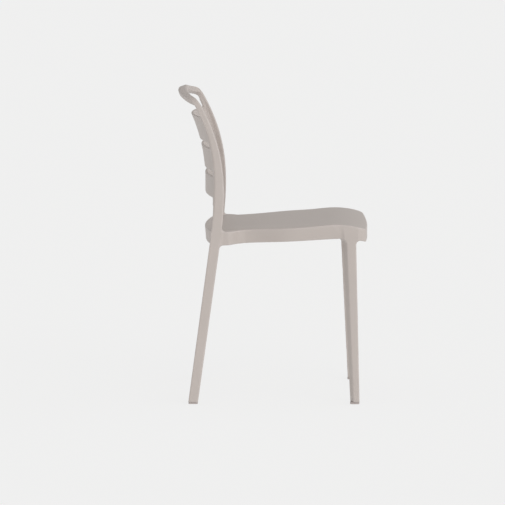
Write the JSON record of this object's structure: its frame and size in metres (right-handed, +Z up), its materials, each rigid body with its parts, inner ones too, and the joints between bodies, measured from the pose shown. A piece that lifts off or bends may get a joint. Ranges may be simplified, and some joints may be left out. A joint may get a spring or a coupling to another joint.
{
  "type": "stacking chair",
  "caption": "Armless stacking chair with a moulded seat, tapered legs, bowed back slats and an arched top rail to carry it by.",
  "frame": {"origin": "on the floor, under the middle of the chair's bounding box", "axes": "+X to the front of the seat, +Y to the sitter's left, +Z up"},
  "size_m": [0.4938, 0.4498, 0.8079],
  "materials": {
    "moulding": "fine matt moulded texture, dove grey",
    "glide": "matt, much the colour of the chair"
  },
  "bodies": {
    "root": {"front_skirt": "moulding", "left_back_stile": "moulding", "left_front_foot_glide": "glide", "left_front_leg": "moulding", "left_rear_foot_glide": "glide", "left_rear_leg": "moulding", "left_side_skirt": "moulding", "lower_back_slat": "moulding", "middle_back_slat": "moulding", "rear_skirt": "moulding", "right_back_stile": "moulding", "right_front_foot_glide": "glide", "right_front_leg": "moulding", "right_rear_foot_glide": "glide", "right_rear_leg": "moulding", "right_side_skirt": "moulding", "seat_pan": "moulding", "top_rail": "moulding", "under_seat_ribs": "moulding", "upper_back_slat": "moulding"}
  },
  "joints": []
}
